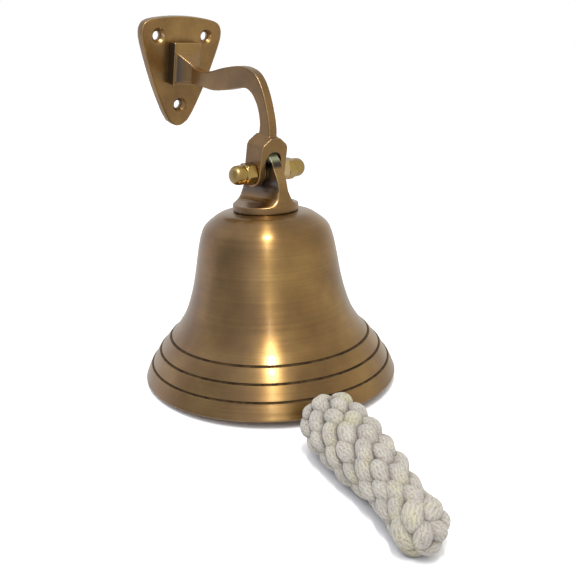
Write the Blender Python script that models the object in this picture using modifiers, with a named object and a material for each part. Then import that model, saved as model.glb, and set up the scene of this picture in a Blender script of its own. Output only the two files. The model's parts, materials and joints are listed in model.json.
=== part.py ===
"""Ship bell with a swan-neck wall bracket, a clapper and a braided rope lanyard.

Units are metres, +Z is up. The bell stands on a table, leaning back a little on its rim, because the
lanyard's neck cord runs out under the front of the rim. The bracket rides on the pivot pin above the
crown, the wall side is +Y and the pin lies along X.
"""
import math

import bmesh
import bpy
from mathutils import Matrix, Vector

MM = 0.001
GAP = 0.3 * MM                       # clearance between neighbouring pieces

# ---- driving dimensions -------------------------------------------------------------------------
RIM_RADIUS = 75 * MM                 # the mouth of a six-inch bell
LEAN = math.radians(2.1)             # the bell leans back on its rim
RAISE = math.radians(10)             # the bracket is turned up about the pin
PIN_HEIGHT = 119 * MM                # pin above the rim, along the bell's axis
WALL_REACH = 92.5 * MM               # pin to the wall plane, in the bracket's own frame

CROWN_TOP = 97 * MM                  # top of the shell
CROWN_THICK = 4 * MM
WALL_THICK = 3.4 * MM
RIM_THICK = 1.3 * MM                 # extra thickness at the sound bow
GROOVE_HEIGHTS = (24.5 * MM, 17.0 * MM, 9.0 * MM)
GROOVE_DEPTH = 0.9 * MM
STUD_HOLE = 3.4 * MM

PLATE_TOP = 69.5 * MM                # heights above the pin, in the bracket's frame
PLATE_TIP = 4.0 * MM
PLATE_THICK = 5 * MM
SCREW_TOP = (17.4 * MM, 58.8 * MM)
SCREW_LOW = 17.2 * MM
SCREW_RADIUS = 2.6 * MM
SCREW_HEAD_RADIUS = 4.6 * MM
SPIGOT_RADIUS = 5 * MM
SPIGOT_HEIGHT = 43 * MM

ARM_WIDTH = 5.6 * MM
BLOCK_HALF = 9.5 * MM
BLOCK_LOW, BLOCK_HIGH = 31 * MM, 56 * MM
BLOCK_PROUD = 5.8 * MM
FORK_HALF = 9.3 * MM                 # half the fork's width along the pin
FORK_DEPTH = 6.8 * MM                # half its depth, wall to front
SLOT_HALF = 5.4 * MM
SLOT_TOP = 13 * MM
EAR_DROP = 8 * MM
LEG_FOOT = 20.5 * MM                 # where the leg meets the fork's shoulders
SHOULDER = 14.5 * MM

PIN_RADIUS = 3.15 * MM               # a quarter-inch pin
STUD_RADIUS = 3 * MM
NUT_FLATS = 11.1 * MM                # its acorn nuts, 7/16 inch across the flats
NUT_HEX = 6 * MM
NUT_LENGTH = 14 * MM
BLUNT = 0.75                         # 1 would make the nuts' ends half balls
NUT_WASHER = 5 * MM                  # thick washer under the right nut
WASHER_RADIUS = 6.2 * MM
WASHER_THICK = 1.5 * MM

TONGUE_HALF = 3.3 * MM
TONGUE_TOP_RADIUS = 10.2 * MM
DISC_RADIUS = 18.9 * MM
DISC_THICK = 4 * MM

EYE_WIRE = 1.5 * MM                  # wire radius of the hanger eye and of the rod's top eye
LINK_WIRE = 1.3 * MM
HANGER_EYE_RADIUS = 5 * MM
HANGER_NUT_RADIUS = 5.77 * MM        # across the corners of an M6 nut, halved
HANGER_EYE_HEIGHT = 79 * MM          # centre of the eye, in the bell's frame
LINK_RADIUS = 4 * MM
LINK_DROP = 14 * MM                  # upper pivot to lower pivot
ROD_EYE_RADIUS = 4.5 * MM
ROD_RADIUS = 2.6 * MM
BALL_RADIUS = 12.5 * MM
BALL_HEIGHT = 31 * MM
TAIL_EYE_RADIUS = 4.3 * MM
TAIL_EYE_HEIGHT = 10.3 * MM

CORD_RADIUS = 2.25 * MM
HANDLE_START = Vector((-39.7, -85.4, 17.2)) * MM
HANDLE_END = Vector((-67.3, -167.0, 11.9)) * MM
HANDLE_RADII = ((5, 16.6), (20, 15.8), (35, 14.9), (48, 13.0), (62, 11.4), (84, 11.2))   # mm along, mm
KNOT_RADIUS = 11.1 * MM
KNOT_LENGTH = 11.5 * MM

BRASS = (0.55, 0.36, 0.13, 1)
BRASS_DARK = (0.42, 0.27, 0.10, 1)
BRASS_PALE = (0.66, 0.45, 0.18, 1)
COTTON = (0.80, 0.76, 0.66, 1)

# ---- frames -------------------------------------------------------------------------------------
BELL_LIFT = RIM_RADIUS * math.sin(LEAN)
PIN_Y = PIN_HEIGHT * math.sin(LEAN)
PIN_Z = BELL_LIFT + PIN_HEIGHT * math.cos(LEAN)
FRONT_Y = -RIM_RADIUS * math.cos(LEAN)
BACK_Y = PIN_Y + WALL_REACH * math.cos(RAISE) - PLATE_TIP * math.sin(RAISE)
ROW_Y = -(FRONT_Y + BACK_Y) / 2      # centres bell and bracket over the origin
ROW = Matrix.Translation((0, ROW_Y, 0))
BELL = ROW @ Matrix.Translation((0, 0, BELL_LIFT)) @ Matrix.Rotation(-LEAN, 4, "X")
BRACKET = ROW @ Matrix.Translation((0, PIN_Y, PIN_Z)) @ Matrix.Rotation(RAISE, 4, "X")
UPPER_PIVOT = BELL @ Vector((0, 0, HANGER_EYE_HEIGHT - HANGER_EYE_RADIUS))
LOWER_PIVOT = UPPER_PIVOT - Vector((0, 0, LINK_DROP))
CLAPPER = Matrix.Translation((0, LOWER_PIVOT.y, 0))


# ---- scene and helpers --------------------------------------------------------------------------
def clear_scene():
    for obj in list(bpy.data.objects):
        bpy.data.objects.remove(obj, do_unlink=True)


def new_collection(name):
    collection = bpy.data.collections.new(name)
    bpy.context.scene.collection.children.link(collection)
    return collection


def make_material(name, color, metallic, roughness):
    material = bpy.data.materials.new(name)
    material.use_nodes = True
    shader = material.node_tree.nodes["Principled BSDF"]
    shader.inputs["Base Color"].default_value = color
    shader.inputs["Metallic"].default_value = metallic
    shader.inputs["Roughness"].default_value = roughness
    return material


clear_scene()
PARTS = new_collection("ship_bell")
CUTTERS = new_collection("cutters")


def brass(name, color=BRASS, roughness=0.3):
    return make_material(name, color, 1.0, roughness)


def add_object(name, mesh, parent, material=None, smooth=True):
    obj = bpy.data.objects.new(name, mesh)
    PARTS.objects.link(obj)
    obj.parent = parent
    if material:
        mesh.materials.append(material)
    if smooth:
        mesh.shade_smooth()
        mesh.set_sharp_from_angle(angle=math.radians(35))
    return obj


def frame_empty(name, matrix):
    empty = bpy.data.objects.new(name, None)
    PARTS.objects.link(empty)
    empty.matrix_world = matrix
    return empty


def bmesh_mesh(name, build):
    mesh = bpy.data.meshes.new(name)
    bm = bmesh.new()
    build(bm)
    bm.to_mesh(mesh)
    bm.free()
    return mesh


def axis_matrix(axis):
    """Rotation that takes +Z to the named axis."""
    turns = {"X": Matrix.Rotation(math.pi / 2, 4, "Y"), "Y": Matrix.Rotation(-math.pi / 2, 4, "X")}
    return turns.get(axis, Matrix.Identity(4))


def cylinder_mesh(name, radius, start, end, axis="Z", centre=(0, 0, 0), sides=32, end_radius=None):
    """Cylinder or cone along an axis, from start to end on it, through the point centre."""
    def build(bm):
        place = Matrix.Translation(centre) @ axis_matrix(axis) @ Matrix.Translation((0, 0, (start + end) / 2))
        bmesh.ops.create_cone(bm, cap_ends=True, segments=sides, radius1=radius,
                              radius2=radius if end_radius is None else end_radius,
                              depth=end - start, matrix=place)
    return bmesh_mesh(name, build)


def box_mesh(name, low, high):
    def build(bm):
        size = Vector(high) - Vector(low)
        middle = (Vector(high) + Vector(low)) / 2
        bmesh.ops.create_cube(bm, size=1, matrix=Matrix.Translation(middle) @ Matrix.Diagonal((*size, 1)))
    return bmesh_mesh(name, build)


def turned_mesh(name, profile, steps=48, closed=False, place=Matrix.Identity(4)):
    """Solid of revolution about Z. The profile holds (radius, height), outer side top to bottom."""
    mesh = bpy.data.meshes.new(name)
    verts = [(r, 0, z) for r, z in profile]
    count = len(verts)
    edges = [(i, i + 1) for i in range(count - 1)]
    if closed:
        edges.append((count - 1, 0))
    mesh.from_pydata(verts, edges, [])
    obj = bpy.data.objects.new(name, mesh)
    PARTS.objects.link(obj)
    screw = obj.modifiers.new("turn", "SCREW")
    screw.steps = screw.render_steps = steps
    screw.use_merge_vertices = True
    screw.merge_threshold = 0.00001
    screw.use_smooth_shade = True
    return bake(obj, place)


def bake(obj, place=Matrix.Identity(4)):
    """The evaluated mesh of an object, with its loose caps welded; the object is removed."""
    bpy.context.view_layer.update()
    evaluated = obj.evaluated_get(bpy.context.evaluated_depsgraph_get())
    mesh = bpy.data.meshes.new_from_object(evaluated)
    mesh.transform(place @ obj.matrix_world)
    bm = bmesh.new()
    bm.from_mesh(mesh)
    bmesh.ops.remove_doubles(bm, verts=bm.verts, dist=0.00001)
    bmesh.ops.recalc_face_normals(bm, faces=bm.faces)
    bm.to_mesh(mesh)
    bm.free()
    mesh.materials.clear()
    mesh.name = obj.name
    bpy.data.objects.remove(obj, do_unlink=True)
    return mesh


def extruded_mesh(name, points, low, high, place, bevel=0.0):
    """Flat outline in XY, extruded from low to high along Z, then placed."""
    curve = bpy.data.curves.new(name, "CURVE")
    curve.dimensions = "2D"
    curve.fill_mode = "BOTH"
    curve.extrude = (high - low) / 2
    spline = curve.splines.new("POLY")
    spline.points.add(len(points) - 1)
    for point, (x, y) in zip(spline.points, points):
        point.co = (x, y, 0, 1)
    spline.use_cyclic_u = True
    obj = bpy.data.objects.new(name, curve)
    PARTS.objects.link(obj)
    mesh = bake(obj, place @ Matrix.Translation((0, 0, (low + high) / 2)))
    if bevel:
        mesh = bevelled(mesh, bevel)
    return mesh


def bevelled(mesh, width, segments=2, angle=40):
    obj = bpy.data.objects.new(mesh.name, mesh)
    PARTS.objects.link(obj)
    modifier = obj.modifiers.new("bevel", "BEVEL")
    modifier.width = width
    modifier.segments = segments
    modifier.limit_method = "ANGLE"
    modifier.angle_limit = math.radians(angle)
    return bake(obj)


def tube_mesh(name, points, radius, closed=False, resolution=2):
    """Round wire through the points."""
    curve = bpy.data.curves.new(name, "CURVE")
    curve.dimensions = "3D"
    curve.bevel_depth = radius
    curve.bevel_resolution = resolution
    curve.use_fill_caps = True
    spline = curve.splines.new("POLY")
    spline.points.add(len(points) - 1)
    for point, co in zip(spline.points, points):
        point.co = (*co, 1)
    spline.use_cyclic_u = closed
    obj = bpy.data.objects.new(name, curve)
    PARTS.objects.link(obj)
    return bake(obj)


def ring_mesh(name, radius, wire, centre, plane="XZ", sides=20, wire_sides=8):
    """Closed ring of round wire, in the XZ, YZ or XY plane."""
    axis = {"XZ": "Y", "YZ": "X", "XY": "Z"}[plane]
    bpy.ops.mesh.primitive_torus_add(major_radius=radius, minor_radius=wire,
                                     major_segments=sides, minor_segments=wire_sides)
    obj = bpy.context.object
    obj.name = name
    return bake(obj, Matrix.Translation(centre) @ axis_matrix(axis))


def combine(obj, tools, operation):
    """Boolean on the object with each tool mesh, tools kept hidden in the cutters collection."""
    for index, mesh in enumerate(tools):
        tool = bpy.data.objects.new(f"{obj.name}_{operation.lower()}_{index}", mesh)
        CUTTERS.objects.link(tool)
        tool.parent = obj.parent
        tool.hide_render = True
        tool.display_type = "WIRE"
        modifier = obj.modifiers.new(tool.name, "BOOLEAN")
        modifier.operation = operation
        modifier.object = tool
        modifier.solver = "EXACT"


def arc(centre, radius, start, end, count):
    """Points on an arc, angles in degrees."""
    angles = [math.radians(start + (end - start) * i / (count - 1)) for i in range(count)]
    return [(centre[0] + radius * math.cos(a), centre[1] + radius * math.sin(a)) for a in angles]


def smooth_line(points, per_span=4):
    """Catmull-Rom curve through points of any dimension."""
    pts = [Vector(p) for p in points]
    pts = [pts[0] * 2 - pts[1]] + pts + [pts[-1] * 2 - pts[-2]]
    line = []
    for i in range(1, len(pts) - 2):
        for step in range(per_span):
            t = step / per_span
            a, b, c, d = pts[i - 1:i + 3]
            line.append(0.5 * (2 * b + (c - a) * t + (2 * a - 5 * b + 4 * c - d) * t ** 2
                               + (3 * b - a - 3 * c + d) * t ** 3))
    line.append(pts[-2])
    return line


# ---- bracket, in its own frame: pin at the origin, wall at +Y ------------------------------------
SIDE = Matrix(((0, 0, 1, 0), (1, 0, 0, 0), (0, 1, 0, 0), (0, 0, 0, 1)))     # outline (y, z), depth x
FACE = Matrix(((1, 0, 0, 0), (0, 0, 1, 0), (0, 1, 0, 0), (0, 0, 0, 1)))     # outline (x, z), depth y


def plate_outline():
    """Crowned top, rounded shoulders, slightly convex sides down to a rounded tip."""
    crown = [(x * MM, PLATE_TOP - 2.2 * MM * (x / 22) ** 2) for x in range(-20, 21, 5)]
    right = smooth_line([(24.5 * MM, 66.2 * MM), (28.3 * MM, 62.5 * MM), (28.6 * MM, 58 * MM),
                         (25.4 * MM, 47 * MM), (19.4 * MM, 31 * MM), (11.6 * MM, 14.5 * MM),
                         (6.6 * MM, 6.6 * MM)], 3)
    tip = arc((0, PLATE_TIP + 8 * MM), 8 * MM, -38, -142, 7)
    left = [(-x, z) for x, z in reversed(right)]
    return crown + [tuple(p) for p in right] + tip + left


def screw_places():
    return [(-SCREW_TOP[0], SCREW_TOP[1]), SCREW_TOP, (0, SCREW_LOW)]


def make_wall_plate(parent):
    front = WALL_REACH - PLATE_THICK
    mesh = extruded_mesh("wall_plate", plate_outline(), front, WALL_REACH, FACE)
    mesh = bevelled(mesh, 1.1 * MM, 2, 60)
    obj = add_object("wall_plate", mesh, parent, brass("wall_plate_brass"))
    cuts = []
    for x, z in screw_places():
        cuts.append(cylinder_mesh("hole", SCREW_RADIUS, front - MM, WALL_REACH + MM, "Y", (x, 0, z), 24))
        cuts.append(cylinder_mesh("sink", SCREW_HEAD_RADIUS + 0.5 * MM, front - 0.5 * MM,
                                  front + 2.2 * MM, "Y", (x, 0, z), 24, SCREW_RADIUS - 0.1 * MM))
    cuts.append(cylinder_mesh("spigot_hole", SPIGOT_RADIUS + GAP, front - MM, WALL_REACH + MM, "Y",
                              (0, 0, SPIGOT_HEIGHT), 24))
    combine(obj, cuts, "DIFFERENCE")
    return obj


def arm_outline():
    """Side view of the swan neck: upper edge from the block to the leg, then the lower edge back."""
    root = (WALL_REACH - PLATE_THICK - BLOCK_PROUD + MM) / MM
    upper = [(root, 44.6), (66, 43.2), (56, 44.4), (42, 49.3), (29, 52.9), (20.5, 53.4),
             (13.6, 51.6), (8.2, 47.3), (3.6, 41), (-0.4, 33.5), (-3.2, 26.5), (-4.3, 20), (-4.4, 14)]
    lower = [(4.6, 14), (5.2, 20), (5.4, 26), (7.4, 32), (11.2, 37.6), (16.6, 41.4), (23, 41.9),
             (37.5, 37.6), (50, 34.6), (60, 34.2), (root, 33.4)]
    return [(p.x * MM, p.y * MM) for p in smooth_line(upper, 2) + smooth_line(lower, 2)]


def fork_outline():
    """Front view of the fork's outside: leg, sloped shoulders, ears."""
    neck = ARM_WIDTH / 2
    right = [(neck, LEG_FOOT), (FORK_HALF - 1.4 * MM, SHOULDER + 1.6 * MM), (FORK_HALF, SHOULDER - MM),
             (FORK_HALF, -EAR_DROP)]
    return right + [(-x, z) for x, z in reversed(right)]


def slot_outline():
    """Front view of the slot between the ears, with an arched top."""
    spring = SLOT_TOP - SLOT_HALF
    foot = -EAR_DROP - 2 * MM
    return [(SLOT_HALF, foot)] + arc((0, spring), SLOT_HALF, 0, 180, 13) + [(-SLOT_HALF, foot)]


def make_bracket_arm(parent):
    half = ARM_WIDTH / 2
    front = WALL_REACH - PLATE_THICK - GAP
    mesh = extruded_mesh("bracket_arm", arm_outline(), -half, half, SIDE, 0.9 * MM)
    obj = add_object("bracket_arm", mesh, parent, brass("bracket_arm_brass"))
    ears = extruded_mesh("fork", fork_outline(), -FORK_DEPTH, FORK_DEPTH, FACE)
    ears = bevelled(ears, 0.8 * MM, 1, 30)
    block = bevelled(box_mesh("block", (-BLOCK_HALF, front - BLOCK_PROUD, BLOCK_LOW),
                              (BLOCK_HALF, front, BLOCK_HIGH)), 0.9 * MM)
    spigot = cylinder_mesh("spigot", SPIGOT_RADIUS, front - MM, WALL_REACH - GAP, "Y",
                           (0, 0, SPIGOT_HEIGHT), 24)
    flare = root_flare(front - BLOCK_PROUD)
    combine(obj, [ears, flare, block, spigot], "UNION")
    slot = extruded_mesh("slot", slot_outline(), -FORK_DEPTH - 2 * MM, FORK_DEPTH + 2 * MM, FACE)
    hole = cylinder_mesh("pin_hole", PIN_RADIUS + GAP, -FORK_HALF - MM, FORK_HALF + MM, "X", (0, 0, 0), 24)
    combine(obj, [slot, hole], "DIFFERENCE")
    keep = extruded_mesh("keep", keep_outline(), -2 * FORK_HALF, 2 * FORK_HALF, SIDE)
    combine(obj, [keep], "INTERSECT")
    return obj


def root_flare(face):
    """Bar that widens into the block, as the casting does at the arm's root."""
    def build(bm):
        made = bmesh.ops.create_cube(bm, size=1)["verts"]
        for v in made:
            wide = v.co.y > 0
            v.co.x = math.copysign((6.6 if wide else 2.7) * MM, v.co.x)
            v.co.z = ((50.5 if v.co.z > 0 else 31.8) if wide else (43.0 if v.co.z > 0 else 34.8)) * MM
            v.co.y = face + 0.5 * MM if wide else face - 12 * MM
    return bevelled(bmesh_mesh("flare", build), 1.2 * MM)


def keep_outline():
    """Side view of what stays of the arm: all of it above the fork, and round-ended ears below."""
    far = 200 * MM
    shoulder = LEG_FOOT - 4 * MM
    turns = [math.radians(-10 - 160 * i / 12) for i in range(13)]
    ears = [(FORK_DEPTH * math.cos(a), EAR_DROP * math.sin(a)) for a in turns]
    return ([(far, far), (far, shoulder), (FORK_DEPTH, shoulder)] + ears
            + [(-FORK_DEPTH, shoulder), (-far, shoulder), (-far, far)])


def make_pin(parent):
    left = -FORK_HALF - NUT_LENGTH + 5.5 * MM
    right = FORK_HALF + NUT_WASHER + NUT_LENGTH - 5.5 * MM
    mesh = cylinder_mesh("pivot_pin", PIN_RADIUS, left, right, "X", (0, 0, 0), 24)
    return add_object("pivot_pin", bevelled(mesh, 0.4 * MM, 1), parent, brass("pin_brass", BRASS_DARK))


def make_dome_nut(name, parent, side, seat):
    """Acorn nut: six flats, then a neck and a dome; blind hole from the seat."""
    hex_end = NUT_HEX
    dome = NUT_FLATS / 2 - 0.1 * MM
    angles = [math.radians(75 - 15 * i) for i in range(6)]
    profile = ([(0, NUT_LENGTH)] + [(dome * math.cos(a) ** BLUNT,
                                     NUT_LENGTH - dome + dome * math.sin(a) ** BLUNT) for a in angles]
               + [(dome, hex_end - MM), (0, hex_end - MM)])
    place = axis_matrix("X") if side > 0 else Matrix.Rotation(-math.pi / 2, 4, "Y")
    place = Matrix.Translation((side * seat, 0, 0)) @ place
    body = turned_mesh(name, profile, 24, False, place)
    obj = add_object(name, body, parent, brass(name + "_brass", BRASS_DARK))
    six = cylinder_mesh("six", NUT_FLATS / 2 / math.cos(math.pi / 6), 0, hex_end, "Z", (0, 0, 0), 6)
    six = bevelled(six, 0.5 * MM, 1)
    six.transform(place)
    combine(obj, [six], "UNION")
    hole = cylinder_mesh("thread", PIN_RADIUS + GAP, -MM, NUT_LENGTH - 4.6 * MM, "Z", (0, 0, 0), 24)
    hole.transform(place)
    combine(obj, [hole], "DIFFERENCE")
    return obj


def washer_mesh(name, hole, radius, thick, place):
    profile = [(hole, thick), (radius, thick), (radius, 0), (hole, 0)]
    return turned_mesh(name, profile, 28, True, place)


def make_bracket_washers(parent):
    turn = axis_matrix("X")
    spacer = SLOT_HALF - TONGUE_HALF - 2 * GAP
    places = {"nut_washer_right": (FORK_HALF + GAP, NUT_WASHER - GAP, WASHER_RADIUS),
              "spacer_washer_left": (-SLOT_HALF + GAP, spacer, WASHER_RADIUS - 0.4 * MM),
              "spacer_washer_right": (TONGUE_HALF + GAP, spacer, WASHER_RADIUS - 0.4 * MM)}
    for name, (x, thick, radius) in places.items():
        place = Matrix.Translation((x, 0, 0)) @ turn
        mesh = washer_mesh(name, PIN_RADIUS + GAP, radius, thick, place)
        add_object(name, mesh, parent, brass(name + "_brass", BRASS_PALE))


# ---- bell, in its own frame: rim centre at the origin, axis along Z ------------------------------
def outer_line():
    """Outer profile from the crown to the rim, without its grooves."""
    keys = [(20, 97.0), (26, 95.9), (31, 93.0), (35.6, 89.0), (37.8, 84.5), (39.3, 79), (40.8, 71.3),
            (42.8, 60), (45.5, 48.8), (49.5, 37.7), (54.6, 29.4), (59.2, 24.2), (65.4, 17), (70.7, 9),
            (73.4, 4.4), (75.0, 0.8)]
    return [(p.x * MM, p.y * MM) for p in smooth_line(keys, 2)]


def with_grooves(line):
    """Cuts each groove into the line: the point nearest to it is replaced by a small notch."""
    result = []
    below = max(z for r, z in line) + MM
    for r, z in line:
        groove = next((g for g in GROOVE_HEIGHTS if abs(z - g) < 1.3 * MM), None)
        if groove is None:
            result.append((r, z))
        elif groove != below:
            below = groove
            rg = radius_at(line, groove)
            up, down = radius_at(line, groove + 0.7 * MM), radius_at(line, groove - 0.7 * MM)
            result += [(up, groove + 0.7 * MM), (rg - GROOVE_DEPTH, groove + 0.1 * MM),
                       (down + 0.5 * MM, groove - 0.7 * MM)]
    return result


def radius_at(line, height):
    for (r0, z0), (r1, z1) in zip(line, line[1:]):
        if z1 <= height <= z0:
            return r0 + (r1 - r0) * (z0 - height) / (z0 - z1)
    return line[-1][0]


def inner_line(line):
    """Inner profile from the rim to the crown: the outer line moved in by the wall's thickness."""
    inner = []
    for (r0, z0), (r1, z1) in zip(line[::2], line[2::2]):
        along = Vector((r1 - r0, z1 - z0)).normalized()
        r, z = (r0 + r1) / 2, (z0 + z1) / 2
        thick = WALL_THICK + RIM_THICK * math.exp(-z / (12 * MM))
        inner.append((r + along.y * thick, z - along.x * thick))
    inner = [(r, z) for r, z in inner if MM < z < CROWN_TOP - CROWN_THICK - 0.5 * MM]
    return list(reversed(inner))


def shell_profile():
    line = outer_line()
    inner = inner_line(line)
    crown_under = CROWN_TOP - CROWN_THICK
    return ([(STUD_HOLE, CROWN_TOP)] + with_grooves(line) + [(RIM_RADIUS, 0), (70.4 * MM, 0)]
            + inner + [(18 * MM, crown_under), (STUD_HOLE, crown_under)])


def make_shell(parent):
    mesh = turned_mesh("bell_shell", shell_profile(), 56, True)
    return add_object("bell_shell", mesh, parent, brass("bell_brass"))


def tongue_outline():
    """Side view of the yoke: round top about the pin, broad sides down to the disc."""
    right = [(12.3, 120.4), (14.2, 117.2), (15.4, 113.6), (16.2, 109.5), (17.0, 106.0), (18.0, 103.6)]
    foot = CROWN_TOP + GAP + DISC_THICK - MM
    side = [(y * MM, z * MM) for y, z in right] + [(18.0 * MM, foot)]
    top = arc((0, PIN_HEIGHT), TONGUE_TOP_RADIUS, 155, 25, 13)
    left = [(-y, z) for y, z in reversed(side)]
    return left + top + side


def make_yoke(parent):
    low = CROWN_TOP + GAP
    profile = [(0, low + DISC_THICK), (DISC_RADIUS - 0.8 * MM, low + DISC_THICK),
               (DISC_RADIUS, low + DISC_THICK - 0.8 * MM), (DISC_RADIUS, low + 0.5 * MM),
               (DISC_RADIUS - 0.5 * MM, low), (0, low)]
    obj = add_object("crown_yoke", turned_mesh("crown_yoke", profile, 48), parent, brass("yoke_brass"))
    tongue = extruded_mesh("tongue", tongue_outline(), -TONGUE_HALF, TONGUE_HALF, SIDE, 0.7 * MM)
    root = [(7.5, 0), (4.6, 1.2), (3.3, 3.4), (3.2, 6)]
    base = low + DISC_THICK - 0.4 * MM
    profile_x = [(x * MM, base + z * MM) for x, z in root]
    fillet_points = profile_x + [(-x, z) for x, z in reversed(profile_x)]
    fillet = extruded_mesh("fillet", fillet_points, -15.5 * MM, 15.5 * MM, FACE)
    combine(obj, [tongue, fillet], "UNION")
    hole = cylinder_mesh("pin_hole", PIN_RADIUS + GAP, -2 * TONGUE_HALF, 2 * TONGUE_HALF, "X",
                         (0, 0, PIN_HEIGHT), 24)
    thread = cylinder_mesh("stud_hole", STUD_RADIUS + GAP, low - MM, low + 7 * MM, "Z", (0, 0, 0), 24)
    combine(obj, [hole, thread], "DIFFERENCE")
    return obj


def make_hanger(parent):
    """Stud with an eye below, a washer and a nut that clamp the crown to the yoke."""
    under = CROWN_TOP - CROWN_THICK
    stud = cylinder_mesh("hanger_eye", STUD_RADIUS, HANGER_EYE_HEIGHT + HANGER_EYE_RADIUS - 0.4 * MM,
                         CROWN_TOP + 6.5 * MM, "Z", (0, 0, 0), 24)
    obj = add_object("hanger_eye", stud, parent, brass("hanger_brass", BRASS_DARK))
    ring = ring_mesh("ring", HANGER_EYE_RADIUS, EYE_WIRE, (0, 0, HANGER_EYE_HEIGHT), "XZ")
    combine(obj, [ring], "UNION")
    washer_low = under - GAP - WASHER_THICK
    place = Matrix.Translation((0, 0, washer_low))
    mesh = washer_mesh("hanger_washer", STUD_RADIUS + GAP, 8 * MM, WASHER_THICK, place)
    add_object("hanger_washer", mesh, parent, brass("hanger_washer_brass", BRASS_DARK))
    nut_high = washer_low - GAP
    nut = cylinder_mesh("hanger_nut", HANGER_NUT_RADIUS, nut_high - 5 * MM, nut_high,
                        "Z", (0, 0, 0), 6)
    nut = add_object("hanger_nut", bevelled(nut, 0.4 * MM, 1), parent, brass("hanger_nut_brass", BRASS_DARK))
    hole = cylinder_mesh("nut_hole", STUD_RADIUS + GAP, nut_high - 6 * MM, nut_high + MM, "Z", (0, 0, 0), 24)
    combine(nut, [hole], "DIFFERENCE")


# ---- clapper, hanging plumb in the row's frame ---------------------------------------------------
def make_link(parent):
    """Long closed link in the YZ plane, hung over the hanger eye's lower wire."""
    top = UPPER_PIVOT.z + EYE_WIRE + LINK_WIRE + GAP
    low = LOWER_PIVOT.z
    y = UPPER_PIVOT.y
    upper = arc((y, top - LINK_RADIUS), LINK_RADIUS, 0, 180, 11)
    lower = arc((y, low + LINK_RADIUS), LINK_RADIUS, 180, 360, 11)
    points = [(0, a, b) for a, b in upper + lower]
    mesh = tube_mesh("clapper_link", points, LINK_WIRE, closed=True)
    return add_object("clapper_link", mesh, parent, brass("link_brass", BRASS_DARK))


def make_clapper(parent):
    eye_top = LOWER_PIVOT.z + LINK_WIRE + EYE_WIRE + GAP
    eye_centre = eye_top - ROD_EYE_RADIUS
    rod_top = eye_centre - ROD_EYE_RADIUS
    tail = TAIL_EYE_HEIGHT + TAIL_EYE_RADIUS
    rod = cylinder_mesh("clapper_rod", ROD_RADIUS, tail, rod_top, "Z", (0, 0, 0), 24)
    obj = add_object("clapper_rod", rod, parent, brass("clapper_brass", BRASS_DARK))
    combine(obj, [ring_mesh("top_eye", ROD_EYE_RADIUS, EYE_WIRE, (0, 0, eye_centre), "XZ"),
                  ring_mesh("tail_eye", TAIL_EYE_RADIUS, LINK_WIRE, (0, 0, TAIL_EYE_HEIGHT), "XZ")], "UNION")
    profile = [(0, BALL_HEIGHT + BALL_RADIUS)]
    profile += [(BALL_RADIUS * math.cos(a), BALL_HEIGHT + BALL_RADIUS * math.sin(a))
                for a in [math.radians(72 - 18 * i) for i in range(9)]]
    profile += [(0, BALL_HEIGHT - BALL_RADIUS)]
    ball = add_object("clapper_ball", turned_mesh("clapper_ball", profile, 24), parent, brass("ball_brass"))
    bore = cylinder_mesh("ball_bore", ROD_RADIUS + GAP, BALL_HEIGHT - 2 * BALL_RADIUS,
                         BALL_HEIGHT + 2 * BALL_RADIUS, "Z", (0, 0, 0), 24)
    combine(ball, [bore], "DIFFERENCE")


# ---- lanyard, lying on the table; coordinates from the bell's foot --------------------------------
def cord_route():
    """Neck cord: from the loop down to the table, under the rim, up into the handle's end."""
    y = LOWER_PIVOT.y - ROW_Y
    start = y - TAIL_EYE_RADIUS - CORD_RADIUS - GAP
    return [(-TAIL_EYE_RADIUS, start, TAIL_EYE_HEIGHT),
            (-5.2 * MM, start - 5 * MM, 9.6 * MM), (-7 * MM, start - 12 * MM, 6.6 * MM),
            (-9.8 * MM, start - 20 * MM, 3.6 * MM), (-13.4 * MM, start - 29 * MM, 2.5 * MM),
            (-19 * MM, start - 42 * MM, 2.4 * MM), (-24.6 * MM, start - 54 * MM, 2.4 * MM),
            (-29.2 * MM, -66.5 * MM, 2.4 * MM), (-31.6 * MM, -72 * MM, 3.6 * MM),
            (-34.2 * MM, -77.5 * MM, 6.6 * MM), (-37.2 * MM, -84.0 * MM, 10.3 * MM)]


def make_lanyard(parent):
    cotton = make_material("cotton", COTTON, 0.0, 0.9)
    y = LOWER_PIVOT.y - ROW_Y
    loop = ring_mesh("lanyard_loop", TAIL_EYE_RADIUS, CORD_RADIUS,
                     (-TAIL_EYE_RADIUS, y, TAIL_EYE_HEIGHT), "XY", 20, 8)
    add_object("lanyard_loop", loop, parent, cotton)
    cord = tube_mesh("lanyard_cord", smooth_line(cord_route(), 2), CORD_RADIUS)
    add_object("lanyard_cord", cord, parent, cotton)
    along = HANDLE_END - HANDLE_START
    length = along.length
    place = Matrix.Translation(HANDLE_START) @ along.to_track_quat("Z", "Y").to_matrix().to_4x4()
    sides = [(r * MM, s * MM) for s, r in reversed(HANDLE_RADII)]
    start, end = HANDLE_RADII[0][1] * MM, HANDLE_RADII[-1][1] * MM
    profile = [(0, length), (end - 1.5 * MM, length)] + sides
    profile += [(start - 1.2 * MM, 1.6 * MM), (start - 4.6 * MM, 0), (0, 0)]
    add_object("lanyard_handle", turned_mesh("lanyard_handle", profile, 28, False, place), parent, cotton)
    belly = length + 3.5 * MM
    knot = [(0, length + KNOT_LENGTH)]
    knot += [(KNOT_RADIUS * math.cos(a), belly + (length + KNOT_LENGTH - belly) * math.sin(a))
             for a in [math.radians(72 - 18 * i) for i in range(5)]]
    knot += [(KNOT_RADIUS - 0.6 * MM, length + GAP + 0.8 * MM), (KNOT_RADIUS - 1.8 * MM, length + GAP),
             (0, length + GAP)]
    add_object("lanyard_knot", turned_mesh("lanyard_knot", knot, 28, False, place), parent, cotton)


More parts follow.
